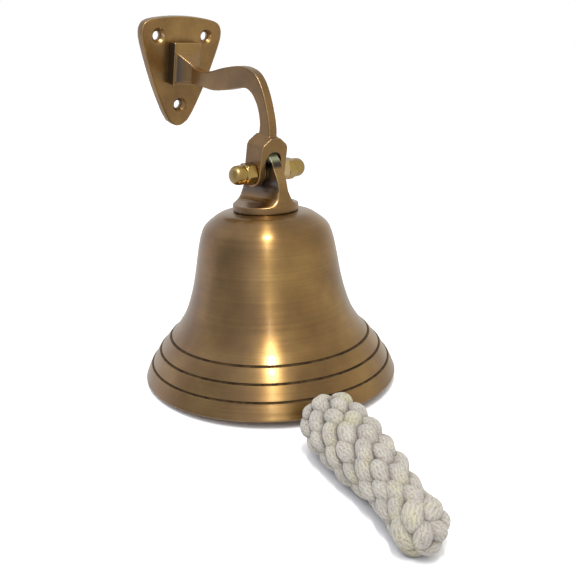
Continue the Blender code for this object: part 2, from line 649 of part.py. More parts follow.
# ---- assembly -----------------------------------------------------------------------------------
bracket = frame_empty("bracket_frame", BRACKET)
bell = frame_empty("bell_frame", BELL)
link = frame_empty("link_frame", Matrix.Identity(4))
clapper = frame_empty("clapper_frame", CLAPPER)
table = frame_empty("table_frame", ROW)
bpy.context.view_layer.update()

make_wall_plate(bracket)
make_bracket_arm(bracket)
make_pin(bracket)
make_dome_nut("dome_nut_left", bracket, -1, FORK_HALF + GAP)
make_dome_nut("dome_nut_right", bracket, 1, FORK_HALF + NUT_WASHER + GAP)
make_bracket_washers(bracket)
make_yoke(bell)
make_shell(bell)
make_hanger(bell)
make_link(link)
make_clapper(clapper)
make_lanyard(table)
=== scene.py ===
"""Looks of the ship bell: turned and cast brass, and a lanyard of braided cotton cord.

Metres, +Z up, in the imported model's frame. Brass pieces are built in their own frame (the bell's foot,
or the pivot pin), so a turning pattern follows the real axis.
"""

import json
import math
import random

import bmesh
import bpy
from mathutils import Matrix, Vector


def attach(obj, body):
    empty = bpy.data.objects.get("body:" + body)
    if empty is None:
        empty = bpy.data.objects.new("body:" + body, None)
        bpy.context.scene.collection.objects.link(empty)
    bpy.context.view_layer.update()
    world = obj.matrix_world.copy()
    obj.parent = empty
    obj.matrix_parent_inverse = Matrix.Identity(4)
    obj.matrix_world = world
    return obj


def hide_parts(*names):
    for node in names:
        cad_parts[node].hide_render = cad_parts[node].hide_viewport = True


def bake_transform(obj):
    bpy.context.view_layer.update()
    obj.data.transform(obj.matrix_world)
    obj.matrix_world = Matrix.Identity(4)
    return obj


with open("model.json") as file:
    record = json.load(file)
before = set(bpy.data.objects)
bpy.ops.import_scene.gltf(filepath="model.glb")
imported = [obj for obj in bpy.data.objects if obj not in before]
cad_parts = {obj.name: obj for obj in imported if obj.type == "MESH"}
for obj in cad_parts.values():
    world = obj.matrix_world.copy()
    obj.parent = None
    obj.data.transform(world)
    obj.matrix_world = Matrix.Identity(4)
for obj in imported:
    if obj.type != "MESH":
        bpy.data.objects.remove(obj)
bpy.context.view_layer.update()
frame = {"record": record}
MM = 0.001
GAP = 0.3 * MM

# ---- frames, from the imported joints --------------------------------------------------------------
JOINTS = {joint["name"]: joint for joint in frame["record"]["behaviour"]["joints"]}
PIN = Vector(JOINTS["bell_swing"]["pos_m"])
UPPER_PIVOT = Vector(JOINTS["clapper_fore_aft"]["pos_m"])
LOWER_PIVOT = Vector(JOINTS["clapper_sideways"]["pos_m"])
TAIL_EYE = Vector(JOINTS["lanyard_fold"]["pos_m"])
LEAN = math.radians(2.1)
RAISE = math.radians(10)
PIN_HEIGHT = 119 * MM
TURN_BELL = Matrix.Rotation(-LEAN, 4, "X")
BELL = Matrix.Translation(PIN) @ TURN_BELL @ Matrix.Translation((0, 0, -PIN_HEIGHT))
BRACKET = Matrix.Translation(PIN) @ Matrix.Rotation(RAISE, 4, "X")
FOOT = Matrix.Translation((0, BELL.translation.y, 0))
CLAPPER = Matrix.Translation((0, LOWER_PIVOT.y, 0))
WORLD = Matrix.Identity(4)


# ---- camera --------------------------------------------------------------------------------------
CAMERA_LENS = 45.5
CAMERA_PLACE = (-0.2659, -0.3216, 0.1887)
CAMERA_TURN = (math.radians(71.69), 0, math.radians(-41.92))


def make_camera():
    data = bpy.data.cameras.new("camera")
    data.lens = CAMERA_LENS
    camera = new_object("camera", data)
    camera.location = CAMERA_PLACE
    camera.rotation_euler = CAMERA_TURN
    bpy.context.scene.camera = camera


# ---- mesh helpers --------------------------------------------------------------------------------
def smooth_line(points, per_span=4):
    """Catmull-Rom curve through points of any dimension."""
    pts = [Vector(p) for p in points]
    pts = [pts[0] * 2 - pts[1]] + pts + [pts[-1] * 2 - pts[-2]]
    line = []
    for i in range(1, len(pts) - 2):
        a, b, c, d = pts[i - 1:i + 3]
        for step in range(per_span):
            t = step / per_span
            line.append(0.5 * (2 * b + (c - a) * t + (2 * a - 5 * b + 4 * c - d) * t ** 2
                               + (3 * b - a - 3 * c + d) * t ** 3))
    return line + [pts[-2]]


def arc(centre, radius, start, end, count):
    """Points on an arc, angles in degrees."""
    angles = [math.radians(start + (end - start) * i / (count - 1)) for i in range(count)]
    return [(centre[0] + radius * math.cos(a), centre[1] + radius * math.sin(a)) for a in angles]


def scaled(points):
    return [(a * MM, b * MM) for a, b in points]


def to_mesh(name, bm):
    mesh = bpy.data.meshes.new(name)
    bm.to_mesh(mesh)
    bm.free()
    return mesh


def new_mesh(name, build, place=WORLD):
    """Closed mesh from a function that fills a bmesh."""
    bm = bmesh.new()
    build(bm)
    bmesh.ops.transform(bm, matrix=place, verts=bm.verts)
    bmesh.ops.remove_doubles(bm, verts=bm.verts, dist=1e-6)
    bmesh.ops.recalc_face_normals(bm, faces=bm.faces)
    return to_mesh(name, bm)


def new_object(name, data, matrix=WORLD):
    obj = bpy.data.objects.new(name, data)
    bpy.context.scene.collection.objects.link(obj)
    obj.matrix_world = matrix
    return obj


def turned(name, profile, steps=96, place=WORLD, closed=False):
    """Solid of revolution about Z from (radius, height) pairs."""
    def build(bm):
        verts = [bm.verts.new((r, 0, z)) for r, z in profile]
        pairs = list(zip(verts, verts[1:])) + ([(verts[-1], verts[0])] if closed else [])
        edges = [bm.edges.new(pair) for pair in pairs]
        bmesh.ops.spin(bm, geom=verts + edges, axis=(0, 0, 1), cent=(0, 0, 0), steps=steps,
                       angle=2 * math.pi, use_merge=True)
    return new_mesh(name, build, place)


def prism(name, outline, low, high, place):
    """Flat outline in XY extruded from low to high along Z, then placed."""
    def build(bm):
        face = bm.faces.new([bm.verts.new((x, y, low)) for x, y in outline])
        moved = bmesh.ops.extrude_face_region(bm, geom=[face])["geom"]
        top = [item for item in moved if isinstance(item, bmesh.types.BMVert)]
        bmesh.ops.translate(bm, verts=top, vec=(0, 0, high - low))
    return new_mesh(name, build, place)


def box(name, low, high):
    def build(bm):
        middle, size = (Vector(high) + Vector(low)) / 2, Vector(high) - Vector(low)
        bmesh.ops.create_cube(bm, size=1, matrix=Matrix.Translation(middle) @ Matrix.Diagonal((*size, 1)))
    return new_mesh(name, build)


def lofted(name, sections):
    """Solid through closed rings of points, each ring with as many points as the last."""
    def build(bm):
        rows = [[bm.verts.new(point) for point in section] for section in sections]
        count = len(rows[0])
        for near, far in zip(rows, rows[1:]):
            for j in range(count):
                bm.faces.new((near[j], near[(j + 1) % count], far[(j + 1) % count], far[j]))
        bm.faces.new(rows[0])
        bm.faces.new(rows[-1])
    return new_mesh(name, build)


def rod(name, radius, start, end, place=WORLD, sides=64, end_radius=None):
    """Cylinder or cone along the placed Z axis."""
    def build(bm):
        bmesh.ops.create_cone(bm, cap_ends=True, segments=sides, radius1=radius,
                              radius2=radius if end_radius is None else end_radius, depth=end - start,
                              matrix=Matrix.Translation((0, 0, (start + end) / 2)))
    return new_mesh(name, build, place)


def swept(name, points, radii, sides=20, closed=False):
    """Round tube through the points, U once around it and V its length in metres; open ends are closed with
    flat caps.
    """
    pts = [Vector(p) for p in points]
    count = len(pts)
    if closed:
        steps = [pts[(i + 1) % count] - pts[i - 1] for i in range(count)]
    else:
        steps = [pts[min(i + 1, count - 1)] - pts[max(i - 1, 0)] for i in range(count)]
    tangents = [step.normalized() for step in steps]
    side = tangents[0].orthogonal().normalized()
    bm = bmesh.new()
    uv = bm.loops.layers.uv.new("UVMap")
    turns = [2 * math.pi * j / sides for j in range(sides)]
    rows, lengths, length = [], [], 0.0
    for i, (point, tangent) in enumerate(zip(pts, tangents)):
        side = (side - tangent * side.dot(tangent)).normalized()
        other = tangent.cross(side)
        length += (point - pts[i - 1]).length if i else 0.0
        rows.append([bm.verts.new(point + radii[i] * (side * math.cos(t) + other * math.sin(t)))
                     for t in turns])
        lengths.append(length)
    spans = count if closed else count - 1
    for i in range(spans):
        k = (i + 1) % count
        far = lengths[k] if k else length + (pts[0] - pts[-1]).length
        for j in range(sides):
            n = (j + 1) % sides
            face = bm.faces.new((rows[i][j], rows[i][n], rows[k][n], rows[k][j]))
            face.smooth = True
            corners = ((j, lengths[i]), (j + 1, lengths[i]), (j + 1, far), (j, far))
            for loop, (u, v) in zip(face.loops, corners):
                loop[uv].uv = (u / sides, v)
    if not closed:
        bm.faces.new(reversed(rows[0]))
        bm.faces.new(rows[-1])
    bmesh.ops.recalc_face_normals(bm, faces=bm.faces)
    return to_mesh(name, bm)


def domed(count, radius, ends=5):
    """Radii along a tube that closes with a rounded end at both ends."""
    radii = []
    for i in range(count):
        near = min(i, count - 1 - i) / ends
        radii.append(radius * (0.25 + 0.75 * math.sqrt(1 - (1 - near) ** 2) if near < 1 else 1))
    return radii


def use(obj, kind, name, **values):
    modifier = obj.modifiers.new(name, kind)
    for key, value in values.items():
        setattr(modifier, key, value)


def settle(obj):
    """Applies the object's modifiers and keeps its name and place."""
    bpy.context.view_layer.update()
    evaluated = obj.evaluated_get(bpy.context.evaluated_depsgraph_get())
    mesh = bpy.data.meshes.new_from_object(evaluated)
    obj.modifiers.clear()
    obj.data = mesh
    return obj


def combined(name, base, added=(), cut=(), matrix=WORLD):
    """One solid: base with the added meshes joined on and the cut meshes taken away."""
    obj = new_object(name, base, matrix)
    for operation, meshes in (("UNION", added), ("DIFFERENCE", cut)):
        for mesh in meshes:
            tool = new_object("tool", mesh, matrix)
            use(obj, "BOOLEAN", "join", operation=operation, object=tool, solver="EXACT")
            settle(obj)
            bpy.data.objects.remove(tool, do_unlink=True)
    return obj


def cast(obj, voxel, passes):
    """Softens every edge and inner corner, as sand casting and polishing do."""
    use(obj, "REMESH", "skin", mode="VOXEL", voxel_size=voxel, use_smooth_shade=True)
    use(obj, "SMOOTH", "soften", factor=0.5, iterations=passes)
    return settle(obj)


def shaded(obj, degrees=35):
    obj.data.shade_smooth()
    obj.data.set_sharp_from_angle(angle=math.radians(degrees))
    return obj


# ---- materials -----------------------------------------------------------------------------------
class Nodes:
    """Short names for the nodes of one material."""
    def __init__(self, name):
        self.material = bpy.data.materials.new(name)
        self.material.use_nodes = True
        self.tree = self.material.node_tree
        self.shader = self.tree.nodes["Principled BSDF"]

    def add(self, kind, inputs=(), **settings):
        node = self.tree.nodes.new(kind)
        for key, value in settings.items():
            setattr(node, key, value)
        for key, value in dict(inputs).items():
            if isinstance(value, bpy.types.NodeSocket):
                self.tree.links.new(value, node.inputs[key])
            else:
                node.inputs[key].default_value = value
        return node

    def link(self, socket, name):
        self.tree.links.new(socket, self.shader.inputs[name])

    def math(self, operation, a, b=0.0):
        return self.add("ShaderNodeMath", {0: a, 1: b}, operation=operation).outputs[0]

    def part(self, vector, axis):
        return self.add("ShaderNodeSeparateXYZ", {0: vector}).outputs[axis]

    def occlusion(self, distance):
        return self.add("ShaderNodeAmbientOcclusion", {"Distance": distance}, samples=6).outputs["AO"]

    def settings(self, values):
        for name, value in values.items():
            self.shader.inputs[name].default_value = value

    def noise(self, vector, scale, detail=3.0, roughness=0.55):
        return self.add("ShaderNodeTexNoise", {"Vector": vector, "Scale": scale, "Detail": detail,
                                               "Roughness": roughness}).outputs["Fac"]

    def ramp(self, factor, stops):
        """Colour ramp from (place, colour) pairs, a colour being a number or an RGB triple."""
        node = self.add("ShaderNodeValToRGB", {"Fac": factor})
        elements = node.color_ramp.elements
        while len(elements) < len(stops):
            elements.new(0.5)
        for element, (place, colour) in zip(elements, stops):
            element.position = place
            element.color = (*colour, 1) if isinstance(colour, tuple) else (colour, colour, colour, 1)
        return node.outputs["Color"]

    def mix(self, factor, a, b, blend="MIX"):
        node = self.tree.nodes.new("ShaderNodeMix")
        node.data_type, node.blend_type = "RGBA", blend
        for index, value in ((0, factor), (6, a), (7, b)):
            if isinstance(value, bpy.types.NodeSocket):
                self.tree.links.new(value, node.inputs[index])
            else:
                node.inputs[index].default_value = (*value, 1) if isinstance(value, tuple) else value
        return node.outputs[2]

    def bump(self, height, distance, strength, normal=None):
        inputs = {"Height": height, "Distance": distance, "Strength": strength}
        if normal is not None:
            inputs["Normal"] = normal
        return self.add("ShaderNodeBump", inputs).outputs["Normal"]


BRASS_DEEP = (0.25, 0.140, 0.045)
BRASS_MID = (0.35, 0.200, 0.062)
BRASS_GOLD = (0.47, 0.285, 0.088)
TARNISH = (0.075, 0.05, 0.028)
VERDIGRIS = (0.10, 0.105, 0.06)
# Colours of the painted shade on the side faces of the yoke's tongue and of the bracket's foot block.
FLANK_SHADE_BROWN = (0.10, 0.085, 0.066)
FLANK_SHADE_DARK = (0.050, 0.046, 0.036)
GREEN_BLOOM = (0.17, 0.185, 0.105)
# Bright gold of worn, polished edges, which also serves as a painted highlight on them.
WORN_EDGE_AND_HIGHLIGHT = (0.86, 0.66, 0.36)
SLOT_SHADOW = (0.02, 0.016, 0.012)
GROOVE_DARK = (0.045, 0.028, 0.014)
GROOVE_BROWN = (0.14, 0.085, 0.035)
NUT_MID = (0.50, 0.34, 0.09)
NUT_GOLD = (0.62, 0.45, 0.12)


def painted_flank_mask(n, coords, axis, stops, facing):
    """How much painted shade darkens the faces that look along X.

    The stops are (mm along the axis, amount) pairs; facing is where the normal's X starts to count and
    where it counts in full.
    """
    looks = n.ramp(n.math("ABSOLUTE", n.part(coords.outputs["Normal"], "X")),
                   [(facing[0], 0.0), (facing[1], 1.0)])
    along = n.part(coords.outputs["Object"], axis)
    scale = 200 * MM
    where = n.ramp(n.math("DIVIDE", along, scale), [(mm * MM / scale, amount) for mm, amount in stops])
    return n.math("MULTIPLY", looks, where)


def paint_slot_shadow_and_verdigris(n, place, colour):
    """The yoke's top inside the fork: a painted shadow band above the pin, then a green verdigris bloom that
    is not metal.
    """
    height = n.math("SUBTRACT", n.part(place, "Z"), PIN_HEIGHT + 2 * MM)
    top = n.math("DIVIDE", height, 8 * MM)
    # Painted shadow: darkens the top from about 2 mm above the pin, under the green verdigris.
    colour = n.mix(n.ramp(top, [(0.05, 0.0), (0.25, 0.9)]), colour, SLOT_SHADOW)
    bloom = n.ramp(top, [(0.45, 0.0), (0.7, 0.95)])
    n.link(n.math("SUBTRACT", 1.0, bloom), "Metallic")
    return n.mix(bloom, colour, GREEN_BLOOM)


def brass(name, tones, roughness, turned_finish, grime=0.5, satin=0.4, flank_shade=None, slot_shadow_and_verdigris=False):
    """Aged brass: a turned piece is brushed round its Z axis, the others have a fine satin and worn edges
    painted bright gold, which is partly real wear and partly a painted highlight. Side faces can get painted
    shade, and the yoke's slot a painted shadow band and green verdigris.
    """
    n = Nodes(name)
    coords = n.add("ShaderNodeTexCoord")
    place = coords.outputs["Object"]
    deep, mid, gold = tones
    blotches = n.noise(place, 28, 4)
    colour = n.ramp(blotches, [(0.32, deep), (0.5, mid), (0.7, gold)])
    if turned_finish:
        split = n.add("ShaderNodeSeparateXYZ", {0: place})
        flat = n.add("ShaderNodeCombineXYZ", {"X": split.outputs["X"], "Y": split.outputs["Y"]})
        radius = n.add("ShaderNodeVectorMath", {0: flat.outputs[0]}, operation="LENGTH").outputs["Value"]
        travel = n.math("SUBTRACT", split.outputs["Z"], radius)
        lines = n.add("ShaderNodeCombineXYZ", {"X": n.math("MULTIPLY", split.outputs["X"], 16.0),
                                               "Y": n.math("MULTIPLY", split.outputs["Y"], 16.0),
                                               "Z": n.math("MULTIPLY", travel, 1400.0)}).outputs[0]
        grain = n.noise(lines, 1.0, 2)
        wide = n.noise(lines, 0.23, 2)
        grain = n.math("ADD", n.math("MULTIPLY", grain, 0.7), n.math("MULTIPLY", wide, 0.3))
        n.settings({"Anisotropic": 0.8, "Anisotropic Rotation": 0.25})
        tangent = n.add("ShaderNodeTangent", direction_type="RADIAL", axis="Z").outputs[0]
        n.link(tangent, "Tangent")
        bump = (0.00006, 0.35)
    else:
        grain = n.noise(place, 520, 4, 0.65)
        bump = (0.00012, satin)
    streak = n.ramp(grain, [(0.3, 0.88), (0.7, 1.08)])
    colour = n.mix(1.0, colour, streak, "MULTIPLY")
    dirt = n.ramp(n.occlusion(6 * MM), [(0.25, 1.0), (0.75, 0.0)])
    spread = n.ramp(n.noise(place, 90, 4), [(0.35, 0.55), (0.65, 1.0)])
    dirt = n.math("MULTIPLY", n.math("MULTIPLY", dirt, spread), grime)
    colour = n.mix(dirt, colour, n.mix(n.noise(place, 60), TARNISH, VERDIGRIS))
    # Painted shade: faces that look along X, within a band along the axis, are darkened.
    if flank_shade:
        colour = n.mix(painted_flank_mask(n, coords, *flank_shade[:3]), colour, flank_shade[3])
    # Painted shadow band and green verdigris in the yoke's slot.
    if slot_shadow_and_verdigris:
        colour = paint_slot_shadow_and_verdigris(n, place, colour)
    if not turned_finish:
        # Convex edges are painted bright gold: partly real wear, partly a painted highlight.
        sharp = n.add("ShaderNodeNewGeometry").outputs["Pointiness"]
        colour = n.mix(n.ramp(sharp, [(0.525, 0.0), (0.575, 0.7)]), colour, WORN_EDGE_AND_HIGHLIGHT)
    n.link(colour, "Base Color")
    rough = n.ramp(grain, [(0.2, roughness - 0.05), (0.8, roughness + 0.07)])
    rough = n.math("ADD", rough, n.math("MULTIPLY", dirt, 0.35))
    n.link(rough, "Roughness")
    n.settings({"Metallic": 1.0, "Coat Weight": 0.7, "Coat Roughness": 0.15})
    n.link(n.bump(grain, *bump), "Normal")
    return n.material


def groove_finish():
    n = Nodes("groove_patina")
    place = n.add("ShaderNodeTexCoord").outputs["Object"]
    grain = n.noise(place, 240, 4)
    n.link(n.ramp(grain, [(0.35, GROOVE_DARK), (0.7, GROOVE_BROWN)]), "Base Color")
    n.link(n.ramp(grain, [(0.3, 0.5), (0.7, 0.65)]), "Roughness")
    n.settings({"Metallic": 0.8})
    n.link(n.bump(grain, 0.0001, 0.5), "Normal")
    return n.material


COTTON = (0.40, 0.375, 0.32)
COTTON_GREY = (0.32, 0.30, 0.265)
COTTON_STAIN = (0.36, 0.345, 0.20)
COTTON_SHADE = (0.12, 0.10, 0.075)
COTTON_SPECK = (0.24, 0.19, 0.13)


def cotton(name, yarns=15.0, pitch=4 * MM):
    """Braided cotton: crossing yarns round the cord, specks, faint stains and shade in the hollows."""
    n = Nodes(name)
    coords = n.add("ShaderNodeTexCoord")
    place = coords.outputs["Object"]
    split = n.add("ShaderNodeSeparateXYZ", {0: coords.outputs["UV"]})
    wobble = n.math("MULTIPLY", n.noise(place, 220, 3), 5.0)
    around = n.math("ADD", n.math("MULTIPLY", split.outputs["X"], 2 * math.pi * yarns), wobble)
    along = n.math("MULTIPLY", split.outputs["Y"], 2 * math.pi / pitch)
    right = n.math("SINE", n.math("ADD", around, along))
    left = n.math("SINE", n.math("SUBTRACT", around, along))
    weave = n.math("MAXIMUM", right, left)
    fuzz = n.noise(place, 1500, 3, 0.7)
    height = n.math("ADD", n.math("MULTIPLY", weave, 0.45), fuzz)
    soft = n.ramp(n.noise(place, 120, 3), [(0.35, COTTON_GREY), (0.6, COTTON)])
    stains = n.ramp(n.noise(place, 60, 3), [(0.55, 0.0), (0.7, 0.7)])
    colour = n.mix(stains, soft, COTTON_STAIN)
    threads = n.ramp(weave, [(0.0, 0.82), (0.75, 1.0)])
    colour = n.mix(1.0, colour, threads, "MULTIPLY")
    specks = n.ramp(n.noise(place, 1100, 2, 0.6), [(0.56, 0.0), (0.62, 0.9)])
    colour = n.mix(specks, colour, COTTON_SPECK)
    hollow = n.ramp(n.occlusion(5 * MM), [(0.4, 1.0), (0.92, 0.0)])
    colour = n.mix(hollow, colour, COTTON_SHADE)
    n.link(colour, "Base Color")
    n.settings({"Roughness": 0.92, "Sheen Weight": 0.25, "Sheen Roughness": 0.5, "Specular IOR Level": 0.2})
    n.link(n.bump(height, 0.0004, 0.75), "Normal")
    return n.material


BELL_BRASS = brass("bell_brass", (BRASS_DEEP, BRASS_MID, BRASS_GOLD), 0.33, True)
# The yoke and the bracket get painted shade on their side faces, and the yoke a painted shadow band in its
# slot.
YOKE_BRASS = brass("yoke_brass", (BRASS_DEEP, BRASS_MID, BRASS_GOLD), 0.33, False, 0.8,
                   flank_shade=("Z", ((101, 0.0), (105, 0.85)), (0.8, 0.97), FLANK_SHADE_BROWN), slot_shadow_and_verdigris=True)
BRACKET_BRASS = brass("bracket_brass", (BRASS_DEEP, BRASS_MID, BRASS_GOLD), 0.36, False, 0.75,
                      flank_shade=("Y", ((75, 0.0), (81, 0.95), (87.1, 0.95), (87.4, 0.0)), (0.4, 0.75),
                            FLANK_SHADE_DARK))
NUT_BRASS = brass("nut_brass", (BRASS_MID, NUT_MID, NUT_GOLD), 0.30, False, 0.6, 0.12)
HARDWARE_BRASS = brass("hardware_brass", (TARNISH, BRASS_DEEP, BRASS_MID), 0.42, False, 0.8)
CLAPPER_BRASS = brass("clapper_brass", (BRASS_DEEP, BRASS_MID, BRASS_GOLD), 0.38, False, 0.7)
GROOVE_PATINA = groove_finish()
ROPE = cotton("cotton_rope")
THIN_CORD = cotton("cotton_neck_cord", 8.0, 2.6 * MM)


def finish_piece(obj, body, slot, material, *nodes):
    """Gives a piece its material, lets it ride on its body and stand for its CAD nodes."""
    obj.data.materials.clear()
    obj.data.materials.append(material)
    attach(obj, body)
    if nodes:
        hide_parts(*nodes)


# ---- bracket, in its own frame: pin at the origin, wall at +Y ------------------------------------
SIDE = Matrix(((0, 0, 1, 0), (1, 0, 0, 0), (0, 1, 0, 0), (0, 0, 0, 1)))     # outline (y, z), depth x
FACE = Matrix(((1, 0, 0, 0), (0, 0, 1, 0), (0, 1, 0, 0), (0, 0, 0, 1)))     # outline (x, z), depth y
ALONG_X = Matrix.Rotation(math.pi / 2, 4, "Y")
ALONG_Y = Matrix.Rotation(-math.pi / 2, 4, "X")
WALL_REACH = 92.5 * MM
PLATE_THICK = 5 * MM
PLATE_FACE = WALL_REACH - PLATE_THICK
SCREWS = scaled([(-17.4, 58.8), (17.4, 58.8), (0, 17.2)])
SCREW_RADIUS = 2.6 * MM
SINK_RADIUS = 5.1 * MM
SINK_DEPTH = 2.2 * MM
SPIGOT_HEIGHT = 43 * MM
SPIGOT_RADIUS = 5 * MM
BLOCK_HALF = 9.5 * MM
BLOCK_DEPTH = 5.8 * MM
BLOCK_LOW = 31 * MM
BLOCK_HIGH = 56 * MM
ARM_HALF = 2.8 * MM
FORK_HALF = 9.3 * MM
FORK_DEPTH = 6.8 * MM
SLOT_HALF = 5.4 * MM
SLOT_TOP = 13 * MM
EAR_DROP = 8 * MM
PIN_RADIUS = 3.15 * MM
PIN_INSET = 5.5 * MM               # from the pin's end to the nut's tip
THREAD_STEP = 0.5 * MM
THREAD_DEPTH = 0.18 * MM
STUD_RADIUS = 3 * MM
NUT_FLATS = 11.1 * MM
NUT_HEX = 6 * MM
NUT_LENGTH = 14 * MM
NUT_WASHER = 5 * MM
BLUNT = 0.75                       # exponent of the dome's rounding; 1 is a plain hemisphere
WASHER_THICK = 1.5 * MM
WASHER_RADIUS = 6.2 * MM
TONGUE_HALF = 3.3 * MM


def plate_outline():
    """Crowned top, rounded shoulders, slightly convex sides down to a rounded tip."""
    crown = [(x, 70.4 - 1.9 * (x / 22) ** 2) for x in range(-20, 21, 4)]
    right = smooth_line([(23.6, 68.0), (26.8, 66.2), (28.7, 62.6), (28.6, 57.6), (25.4, 47), (19.4, 31),
                         (11.6, 14.5), (6.6, 6.6)], 8)
    tip = arc((0, 12), 8, -42, -138, 17)
    left = [(-x, z) for x, z in reversed(right)]
    return scaled(crown + [tuple(p) for p in right] + tip + left)


def make_wall_plate():
    base = prism("wall_plate", plate_outline(), PLATE_FACE, WALL_REACH, FACE)
    cuts = []
    for x, z in SCREWS:
        axis = Matrix.Translation((x, 0, z)) @ ALONG_Y
        cuts.append(rod("hole", SCREW_RADIUS, PLATE_FACE - MM, WALL_REACH + MM, axis))
        cuts.append(rod("sink", SINK_RADIUS, PLATE_FACE - 0.5 * MM, PLATE_FACE + SINK_DEPTH, axis,
                        end_radius=SCREW_RADIUS - 0.1 * MM))
    cuts.append(rod("spigot_hole", SPIGOT_RADIUS + GAP, PLATE_FACE - MM, WALL_REACH + MM,
                    Matrix.Translation((0, 0, SPIGOT_HEIGHT)) @ ALONG_Y))
    obj = combined("wall_plate_cast", base, cut=cuts, matrix=BRACKET)
    cast(obj, 0.42 * MM, 7)
    finish_piece(obj, "bracket", "bracket_brass", BRACKET_BRASS, "wall_plate")


def arm_outline():
    """Side view of the swan neck: upper edge from the block to the leg, then the lower edge back."""
    root = 82.7
    upper = [(root, 44.6), (66, 43.2), (56, 44.4), (42, 49.3), (29, 52.9), (20.5, 53.4),
             (13.6, 51.6), (8.2, 47.3), (3.6, 41), (-0.4, 33.5), (-3.2, 26.5), (-4.3, 20), (-4.4, 14)]
    lower = [(4.6, 14), (5.2, 20), (5.4, 26), (7.4, 32), (11.2, 37.6), (16.6, 41.4), (23, 41.9),
             (37.5, 37.6), (50, 34.6), (60, 34.2), (root, 33.4)]
    return scaled([tuple(p) for p in smooth_line(upper, 6) + smooth_line(lower, 6)])


def fork_outline():
    """Front view of the fork's outside: leg, sloped shoulders, ears."""
    right = scaled([(3.1, 20.9), (8.2, 17.2), (9.3, 15.2)]) + [(FORK_HALF, -EAR_DROP)]
    return right + [(-x, z) for x, z in reversed(right)]


def slot_outline():
    spring, foot = SLOT_TOP - SLOT_HALF, -EAR_DROP - 2 * MM
    return [(SLOT_HALF, foot)] + arc((0, spring), SLOT_HALF, 0, 180, 25) + [(-SLOT_HALF, foot)]


def ears_cutter():
    """What the ears' round ends leave out: a slab below the pin with a half-ellipse taken from it."""
    turns = [math.radians(180 + 180 * i / 24) for i in range(25)]
    ears = [(FORK_DEPTH * math.cos(a), EAR_DROP * math.sin(a)) for a in turns]
    wide, low = 2 * FORK_DEPTH, -2 * EAR_DROP
    outline = [(-wide, 0)] + ears + [(wide, 0), (wide, low), (-wide, low)]
    return prism("ears_cutter", outline, -2 * FORK_HALF, 2 * FORK_HALF, SIDE)


def root_flare(face):
    """The arm's root: sections that widen more and more quickly into the block."""
    sections = []
    for i in range(9):
        t = i / 8
        wide = (2.6 + 6.0 * t ** 2.2) * MM
        low, high = (34.6 - 2.4 * t ** 2.0) * MM, (43.4 + 7.2 * t ** 1.3) * MM
        y = face + (-12 + 12.5 * t) * MM
        sections.append([(-wide, y, low), (wide, y, low), (wide, y, high), (-wide, y, high)])
    return lofted("flare", sections)


def make_bracket_arm():
    front = PLATE_FACE - GAP
    block_face = front - BLOCK_DEPTH
    base = prism("bracket_arm", arm_outline(), -ARM_HALF, ARM_HALF, SIDE)
    added = [prism("fork", fork_outline(), -FORK_DEPTH, FORK_DEPTH, FACE), root_flare(block_face),
             box("block", (-BLOCK_HALF, block_face, BLOCK_LOW), (BLOCK_HALF, front, BLOCK_HIGH)),
             rod("spigot", SPIGOT_RADIUS, front - MM, WALL_REACH - GAP,
                 Matrix.Translation((0, 0, SPIGOT_HEIGHT)) @ ALONG_Y)]
    cuts = [prism("slot", slot_outline(), -2 * FORK_DEPTH, 2 * FORK_DEPTH, FACE), ears_cutter(),
            rod("pin_hole", PIN_RADIUS + GAP, -2 * FORK_HALF, 2 * FORK_HALF, ALONG_X)]
    obj = combined("bracket_arm_cast", base, added, cuts, BRACKET)
    cast(obj, 0.42 * MM, 6)
    finish_piece(obj, "bracket", "bracket_brass", BRACKET_BRASS, "bracket_arm")


def make_pin():
    left = PIN_INSET - FORK_HALF - NUT_LENGTH
    right = FORK_HALF + NUT_WASHER + NUT_LENGTH - PIN_INSET
    tip = 2.6 * MM
    profile = [(0, right), (tip, right), (PIN_RADIUS, right - 0.4 * MM)]
    thread = int((right - left) / THREAD_STEP) - 2
    profile += [(PIN_RADIUS - (THREAD_DEPTH if i % 2 else 0), right - (1 + i) * THREAD_STEP)
                for i in range(thread)]
    profile += [(PIN_RADIUS, left + 0.4 * MM), (tip, left), (0, left)]
    obj = new_object("pivot_pin_thread", turned("pivot_pin", profile, 48, ALONG_X), BRACKET)
    finish_piece(shaded(obj), "bracket", "nut_brass", HARDWARE_BRASS, "pivot_pin")


